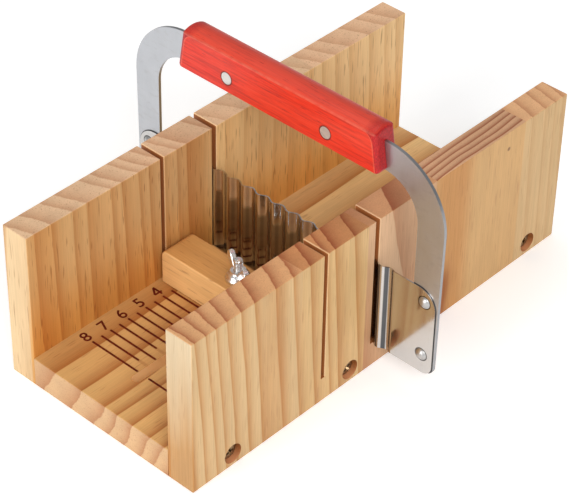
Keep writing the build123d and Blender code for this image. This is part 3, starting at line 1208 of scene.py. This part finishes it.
@dataclass
class BurntScale:
    """Centimetre scale burnt into the floor, counted from the blade. Lengths in millimetres.

    Attributes:
        zero: where the blade cuts.
        count: the last whole number.
        pitch: distance between whole lines.
        line_width: width of a line.
        line_round: radius of a line's round ends, as a share of its width.
        start: where each line begins, beside the numerals.
        whole_end: where a whole line stops before the groove.
        half_end: where a half line stops.
        far_part: where a whole line goes on beyond the groove, and where it ends.
        figure_height: height of the numerals.
        figure_foot: where the numerals' feet stand.
        figure_share: a numeral's height against its type size.
        bold: how much wider each of their strokes is on each side.
        open_four: the 4's left end, stem, right end and bar, as shares of its height.
        four_inset: how far its slanting stroke keeps inside its left end and its top.
        sunk: how deep the burn goes.
        proud: how far its soot stands above the floor.
        overlap: how far one stroke of the 4 stands above the one before.
    """

    zero: float = -8.5
    count: int = 8
    pitch: float = 10.0
    line_width: float = 0.95
    line_round: float = 0.45
    start: float = 29.0
    whole_end: float = 2.6
    half_end: float = 7.1
    far_part: tuple[float, float] = (-3.3, -29.0)
    figure_height: float = 5.6
    figure_foot: float = 30.3
    figure_share: float = 0.7
    bold: float = 0.09
    open_four: tuple[float, ...] = (-0.36, 0.16, 0.38, 0.27)
    four_inset: tuple[float, float] = (0.1, 0.2)
    sunk: float = 0.15
    proud: float = 0.05
    overlap: float = 0.004

    def stroke(self, shape: Mesh, start: tuple[float, float], end: tuple[float, float],
               floor: float) -> None:
        """Adds one burnt stroke with round ends.

        Args:
            shape: the bmesh to add to.
            start: where it begins on the floor.
            end: where it ends.
            floor: the floor's upper face.
        """
        tall = self.sunk + self.proud
        first, last = Vector((*start, 0.0)), Vector((*end, 0.0))
        run = last - first
        made = bmesh.ops.create_cube(shape, size=1.0)["verts"]
        bmesh.ops.scale(shape, vec=(self.line_width, run.length, tall), verts=made)
        uprights = [edge for edge in {e for v in made for e in v.link_edges}
                    if abs(edge.verts[0].co.z - edge.verts[1].co.z) > tall / 2]
        rounded = bmesh.ops.bevel(shape, geom=uprights, segments=4, profile=0.5,
                                  offset=self.line_width * self.line_round,
                                  affect="EDGES", material=-1)
        verts = list({vertex for face in rounded["faces"] for vertex in face.verts})
        turn = Vector((0.0, 1.0)).angle_signed(run.xy.normalized())
        middle = (first + last) / 2 + Vector((0, 0, floor + self.proud - tall / 2))
        bmesh.ops.transform(shape, verts=verts, matrix=Matrix.Translation(middle)
                            @ Matrix.Rotation(-turn, 4, "Z"))

    def four(self, x: float, floor: float) -> Mesh:
        """Makes the open numeral 4 from three strokes.

        Args:
            x: the middle of its line.
            floor: the floor's upper face.

        Returns:
            Its mesh in millimetres.
        """
        shape = bmesh.new()
        tall, foot = self.figure_height, self.figure_foot
        left, stem, right = (x + share * tall for share in self.open_four[:3])
        bar = foot + self.open_four[3] * tall
        aside, below = self.four_inset
        strokes = (((stem, foot), (stem, foot + tall)),
                   ((left, bar), (right, bar)),
                   ((left + aside, bar), (stem, foot + tall - below)))
        for index, (start, end) in enumerate(strokes):
            self.stroke(shape, start, end, floor + index * self.overlap)
        return shape

    def figure(self, number: int, x: float, floor: float) -> Mesh:
        """Makes one numeral lying on the floor.

        Args:
            number: the numeral.
            x: the middle of its line.
            floor: the floor's upper face.

        Returns:
            Its mesh in millimetres.
        """
        words = bpy.data.curves.new(f"figure_{number}", "FONT")
        words.body = str(number)
        words.size = self.figure_height / self.figure_share
        words.extrude = (self.sunk + self.proud) / 2
        words.offset = self.bold
        holder = link(words.name, words)
        mesh = bpy.data.meshes.new_from_object(
            holder.evaluated_get(bpy.context.evaluated_depsgraph_get()))
        shape = bmesh.new()
        shape.from_mesh(mesh)
        bpy.data.objects.remove(holder)
        bpy.data.curves.remove(words)
        bpy.data.meshes.remove(mesh)
        places = [vertex.co.x for vertex in shape.verts]
        aside = x - (min(places) + max(places)) / 2
        lift = floor + self.proud - (self.sunk + self.proud) / 2
        bmesh.ops.translate(shape, vec=(aside, self.figure_foot, lift), verts=shape.verts)
        return shape

    def build(self, floor: float, finish: Material) -> None:
        """Builds lines and numerals.

        Args:
            floor: the floor's upper face, in millimetres.
            finish: their material.
        """
        shape = bmesh.new()
        far_start, far_end = self.far_part
        for step in range(1, 2 * self.count + 1):
            x = self.zero - step * self.pitch / 2
            half = step % 2 == 1
            self.stroke(shape, (x, self.start), (x, self.half_end if half else self.whole_end),
                        floor)
            if not half:
                self.stroke(shape, (x, far_start), (x, far_end), floor)
        place_mesh("scale_lines", shape, finish, "box")
        for number in range(1, self.count + 1):
            x = self.zero - number * self.pitch
            shape = self.four(x, floor) if number == 4 else self.figure(number, x, floor)
            place_mesh(f"scale_figure_{number}", shape, finish, "box")


@dataclass
class PineBox:
    """Open box of three glued pine boards with its screws and scale.

    Attributes:
        screws: the screws' CAD nodes.
        slots: middle and half width of each saw slot, in millimetres.
        screw_places: where the screws are along each wall.
        scale: the burnt scale.
    """

    screws: tuple[str, ...] = ("near_screw_1", "near_screw_2", "near_screw_3",
                               "far_screw_1", "far_screw_2", "far_screw_3")
    slots: tuple[tuple[float, float], ...] = ((-38.5, 1.0), (-8.5, 1.2))
    screw_places: tuple[float, ...] = (-90.0, -22.0, 93.5)
    scale: BurntScale = field(default_factory=BurntScale)

    def near_wall(self) -> PineFinish:
        """Returns the finish of the wall nearer the camera."""
        return PineFinish(
            "pine_near_wall", Grain.ALONG_Z, (-51.5, 75.0),
            (Stave(-112.0, (-116.0, -110.5, -104.6, -99.4, -93.4, -85.7, -78.3, -66.8, -57.3,
                            -48.3, -39.1, -34.0, -22.4, -14.0),
                   shade(213, 178, 129), shade(190, 134, 74),
                   lean=-0.073, slant=0.42, slant_from=-108.0, slant_full=-80.0),
             Stave(-52.0, (-57.3, -48.3, -39.1, -34.0, -22.4, -14.0),
                   shade(214, 176, 122), shade(186, 130, 72),
                   lean=-0.073, slant=0.42, end=(0.78, 0.66, 0.56, 1.0)),
             # This stave's end tint is painted shade where the grip's shadow falls on the wall's
             # top.
             Stave(-14.0, (-30.0, 0.0, 34.0, 60.0),
                   shade(214, 172, 132), shade(190, 136, 94),
                   lean=-0.25, slant=0.62, end=(0.88, 0.82, 0.85, 1.0)),
             Stave(27.0, (-56.0, -51.2, -48.0, -45.1, -42.0, -38.6, -34.0),
                   shade(210, 166, 110), shade(172, 110, 52), Count.THROUGH,
                   lean=0.004, slant=0.026, strength=1.2, end=(0.94, 1.0, 1.22, 1.0)),
             Stave(84.0, (80.0, 88.5, 97.0, 103.5, 109.0, 116.0),
                   shade(210, 174, 124), shade(196, 150, 98),
                   lean=-0.03, slant=0.2, strength=0.6, end=(1.15, 1.22, 1.36, 1.0))),
            end_early=shade(224, 170, 118), end_late=shade(164, 92, 52),
            wander=0.7, sharp=2.4, dashes=0.25, slots=self.slots, screws=self.screw_places,
            knots=((73.6, 66.4, 1.0),), resin=((38.0, 17.0, 0.8), (-66.0, 9.0, 0.45)))

    def far_wall(self) -> PineFinish:
        """Returns the finish of the wall beside the numerals."""
        return PineFinish(
            "pine_far_wall", Grain.ALONG_Z, (38.0, 75.0),
            (Stave(-112.0, (-116.0, -107.5, -98.7, -87.9, -80.3, -66.9, -60.9, -51.8, -46.3,
                            -39.3, -30.3, -24.5, -10.5, -2.0),
                   shade(228, 184, 126), shade(192, 132, 74),
                   lean=-0.03, slant=-0.4, strength=0.75),
             # The two staves from -8 on are paler pine, with their colours raised further as
             # painted light for the inner face inside the box.
             Stave(-8.0, (-12.0, -2.0, 9.0, 18.5, 28.0, 38.0, 49.5, 60.0),
                   shade(255, 212, 148), shade(228, 170, 104),
                   lean=0.02, slant=-0.5, strength=0.5, end=(1.1, 1.1, 1.1, 1.0)),
             Stave(52.0, (46.0, 57.0, 65.9, 74.5, 87.6, 98.4, 105.8, 118.0),
                   shade(254, 216, 156), shade(224, 170, 106),
                   lean=-0.05, slant=-0.45, strength=0.6, end=(1.15, 1.1, 1.1, 1.0))),
            end_early=shade(230, 192, 152), end_late=shade(190, 136, 96),
            wander=0.8, slots=self.slots, screws=self.screw_places,
            deep=(0.94, 0.72, 0.4, 1.0), resin=((-104.0, 11.0, 0.55), (-20.0, 10.0, 0.5)))

    def floor(self) -> PineFinish:
        """Returns the finish of the floor board."""
        return ScaleFloorFinish(
            "pine_floor", Grain.ALONG_X, (14.0, -112.0),
            (Stave(-60.0, (-44.0, -36.0, -28.0, -18.6, -10.0, -2.0, 11.0, 26.0, 44.0),
                   shade(219, 171, 106), shade(172, 104, 46), slant=-0.45),),
            end_early=shade(206, 168, 124), end_late=shade(174, 120, 78),
            wander=1.4, sharp=2.1, dashes=0.4)

    def build(self) -> None:
        """Dresses the boards and builds the scale and the screws."""
        dress("near_wall", self.near_wall().build())
        dress("far_wall", self.far_wall().build())
        dress("floor_board", self.floor().build())
        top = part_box("floor_board")[1].z / MM
        self.scale.build(top, BurntFinish("burnt_wood").build())
        steel = SteelFinish("screw_steel_plated", shade(150, 124, 92), (0.3, 0.42),
                            cloud=0.2, stain=shade(36, 26, 18), film=0.8).build()
        for name in self.screws:
            WallScrew().build(name, name.split("_")[0], steel)


@dataclass
class StopUnit:
    """Stop block with its threaded bolt and wing nut. Lengths are in millimetres.

    Attributes:
        pitch: rise of the thread in one turn.
        thread_foot: height where the thread begins.
        core: radius at the thread's root.
        crest: radius at its crest.
        root: how deep the ridge is rooted in the core.
        ridge: half its width at its root and crest, as shares of half a turn's rise.
        runout: height over which the plain shank narrows to the core.
        thread_end: how far under the tip the thread ends.
        end_rings: radius of each ring of the bolt's end, and how far it is under the tip.
        dome: share of the head's radius, and height, of each ring of its rounded foot.
        head_height: height of the bolt's head.
        neck: side and height of its square neck.
        neck_edge: width of the neck's bevelled edges.
        facets: facets round the bolt.
    """

    pitch: float = 0.7
    thread_foot: float = 12.0
    core: float = 1.62
    crest: float = 1.95
    root: float = 0.05
    ridge: tuple[float, float] = (0.96, 0.14)
    runout: float = 0.3
    thread_end: float = 0.6
    end_rings: tuple[tuple[float, float], ...] = ((1.62, 0.85), (1.95, 0.7), (1.95, 0.3),
                                                  (1.7, 0.0), (0.6, 0.0), (0.0, 0.25))
    dome: tuple[tuple[float, float], ...] = ((0.0, 0.0), (0.45, 0.12), (0.78, 0.62),
                                             (0.97, 1.5), (1.0, 2.2))
    head_height: float = 2.2
    neck: tuple[float, float] = (4.2, 5.0)
    neck_edge: float = 0.25
    facets: int = 24

    def block_finish(self) -> PineFinish:
        """Returns the finish of the stop block."""
        return PineFinish(
            "stop_block_wood", Grain.ALONG_Y, (-33.7, 0.0),
            (Stave(-60.0, (-10.0, 8.0, 17.0, 24.5, 30.0, 50.0),
                   shade(217, 162, 97), shade(207, 150, 86), slant=0.3, strength=0.5),),
            end_early=shade(226, 178, 120), end_late=shade(190, 138, 84),
            # The block's front and back get painted light.
            wander=1.2, dashes=0.55, deep=(1.0, 0.95, 0.86, 1.0), sawn=(1.22, 1.5, 2.05, 1.0))

    def bolt(self, finish: Material) -> None:
        """Builds the round-headed bolt with its square neck and thread.

        Args:
            finish: its material.
        """
        low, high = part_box("stop_bolt")
        middle = (low + high) / 2 / MM
        foot, tip = low.z / MM, high.z / MM
        head = (high.x - low.x) / 2 / MM
        neck_foot = foot + self.head_height
        shape = bmesh.new()
        outline = [(share * head, foot + height) for share, height in self.dome]
        outline += [(self.crest, neck_foot), (self.crest, self.thread_foot),
                    (self.core, self.thread_foot + self.runout)]
        outline += [(radius, tip - drop) for radius, drop in self.end_rings]
        verts = [shape.verts.new((radius, 0.0, height)) for radius, height in outline]
        edges = [shape.edges.new(pair) for pair in zip(verts, verts[1:])]
        bmesh.ops.spin(shape, geom=verts + edges, cent=(0, 0, 0), axis=(0, 0, 1),
                       angle=2 * math.pi, steps=self.facets, use_merge=True)
        bmesh.ops.remove_doubles(shape, verts=shape.verts, dist=0.001)
        self.thread(shape, tip)
        side, tall = self.neck
        neck = bmesh.ops.create_cube(shape, size=1.0)["verts"]
        bmesh.ops.scale(shape, vec=(side, side, tall), verts=neck)
        bmesh.ops.translate(shape, vec=(0, 0, neck_foot + tall / 2), verts=neck)
        sides = list({edge for vertex in neck for edge in vertex.link_edges})
        bmesh.ops.bevel(shape, geom=sides, offset=self.neck_edge, segments=2, profile=0.5,
                        affect="EDGES", material=-1)
        bmesh.ops.translate(shape, vec=(middle.x, middle.y, 0), verts=shape.verts)
        piece = place_mesh("threaded_bolt", shape, finish, "stop", 32.0)
        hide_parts("stop_bolt")

    def thread(self, shape: Mesh, tip: float) -> None:
        """Winds the thread's ridge round the shank.

        Args:
            shape: the bmesh to add to.
            tip: height of the bolt's end.
        """
        turns = int((tip - self.thread_end - self.thread_foot) / self.pitch) - 1
        half = self.pitch / 2
        inner = self.core - self.root
        start = self.thread_foot + self.pitch
        foot, top = (share * half for share in self.ridge)
        ridge = ((inner, -foot), (self.crest, -top), (self.crest, top), (inner, foot))
        verts = [shape.verts.new((radius, 0.0, start + rise)) for radius, rise in ridge]
        face = shape.faces.new(verts)
        steps = turns * self.facets
        bmesh.ops.spin(shape, geom=[face], cent=(0, 0, 0), axis=(0, 0, 1),
                       dvec=(0, 0, turns * self.pitch / steps), angle=turns * 2 * math.pi,
                       steps=steps, use_merge=False, use_duplicate=False)

    def build(self) -> None:
        """Dresses the block and nut and builds the bolt."""
        zinc = SteelFinish("bright_zinc", shade(242, 242, 242), (0.2, 0.32), cloud=0.15,
                           stain=shade(84, 80, 76), film=0.45)
        dress("stop_block", self.block_finish().build())
        dress("wing_nut", zinc.build())
        self.bolt(zinc.build())


@dataclass
class WavyCutter:
    """Wavy blade on its bow with the red grip, pins and rivets. Lengths are in millimetres.

    Attributes:
        pins: the grip's pins.
        near_rivets: the rivets on the side nearer the camera.
        far_rivets: the rivets on the other side.
        tab_corner: radius of the blade's upper corners.
        half_wave: distance from crest to trough along the blade.
        tab_bends: place, half width and depth of each painted dark reflection beside the tabs'
            bends.
        grip_reach: half the length of the grip's front face at its foot.
        grip_rake: how much shorter each end of the grip gets with each millimetre of height.
        crown: height of the grip's rounded top.
    """

    pins: tuple[str, ...] = ("near_handle_pin", "far_handle_pin")
    near_rivets: tuple[str, ...] = ("near_upper_rivet", "near_lower_rivet")
    far_rivets: tuple[str, ...] = ("far_upper_rivet", "far_lower_rivet")
    tab_corner: float = 9.0
    half_wave: float = 4.177
    tab_bends: tuple[Triple, ...] = ((56.9, 0.6, 0.85), (53.9, 0.25, 0.8), (60.1, 0.15, 0.6))
    grip_reach: float = 52.3
    grip_rake: float = 0.16
    crown: float = 1.8

    def sheets(self) -> None:
        """Dresses the blade and the bow, with their painted reflections and painted shadows."""
        seats = []
        # The rivets' places, for the painted shadows round them.
        for name in self.near_rivets:
            low, high = (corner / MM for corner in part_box(name))
            middle = (low + high) / 2
            seats.append((-middle.y, middle.z, (high.y - low.y) / 2))
        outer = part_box("cutter_blade")[1] / MM
        blade = SteelFinish("polished_blade", shade(206, 204, 202), (0.07, 0.14),
                            Brush.ALONG_Z, (0.001, 0.5), 0.05, shade(150, 142, 132), 0.12,
                            bands=self.tab_bends, ribs=(self.half_wave, 0.3),
                            seats=tuple(seats))
        bow = SteelFinish("satin_bow", shade(190, 192, 196), (0.3, 0.42),
                          Brush.ALONG_Z, (0.003, 0.5), 0.06, shade(150, 144, 136), 0.2,
                          edge=0.7, lap=(outer.y, outer.z, self.tab_corner))
        dress("cutter_blade", blade.build())
        dress("cutter_bow", bow.build())

    def grip(self) -> None:
        """Dresses the grip."""
        low, high = (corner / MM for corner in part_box("cutter_handle"))
        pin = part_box(self.pins[1])
        pin_place = (pin[0] + pin[1]) / 2 / MM
        red = RedWoodFinish("red_grip", reach=self.grip_reach, foot=low.z,
                            rake=self.grip_rake, front=low.x, shoulder=high.z - self.crown,
                            pins=(pin_place.y, pin_place.z))
        dress("cutter_handle", red.build())

    def build(self) -> None:
        """Dresses every part of the cutter."""
        self.sheets()
        self.grip()
        pin = SteelFinish("pin_steel", shade(228, 226, 224), (0.3, 0.45), cloud=0.12,
                          stain=shade(130, 120, 112), film=0.4).build()
        rivet = SteelFinish("rivet_steel_polished", shade(188, 187, 186), (0.34, 0.42),
                            cloud=0.05).build()
        for name in self.pins:
            dress(name, pin)
        for name in self.near_rivets + self.far_rivets:
            dress(name, rivet)


def main() -> None:
    """Builds the studio, the box, the stop and the cutter."""
    logging.basicConfig(level=logging.INFO, format="%(message)s")
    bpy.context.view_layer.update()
    Studio().build()
    PineBox().build()
    StopUnit().build()
    WavyCutter().build()
    log.info("sizes written")


if __name__ == "__main__":
    main()
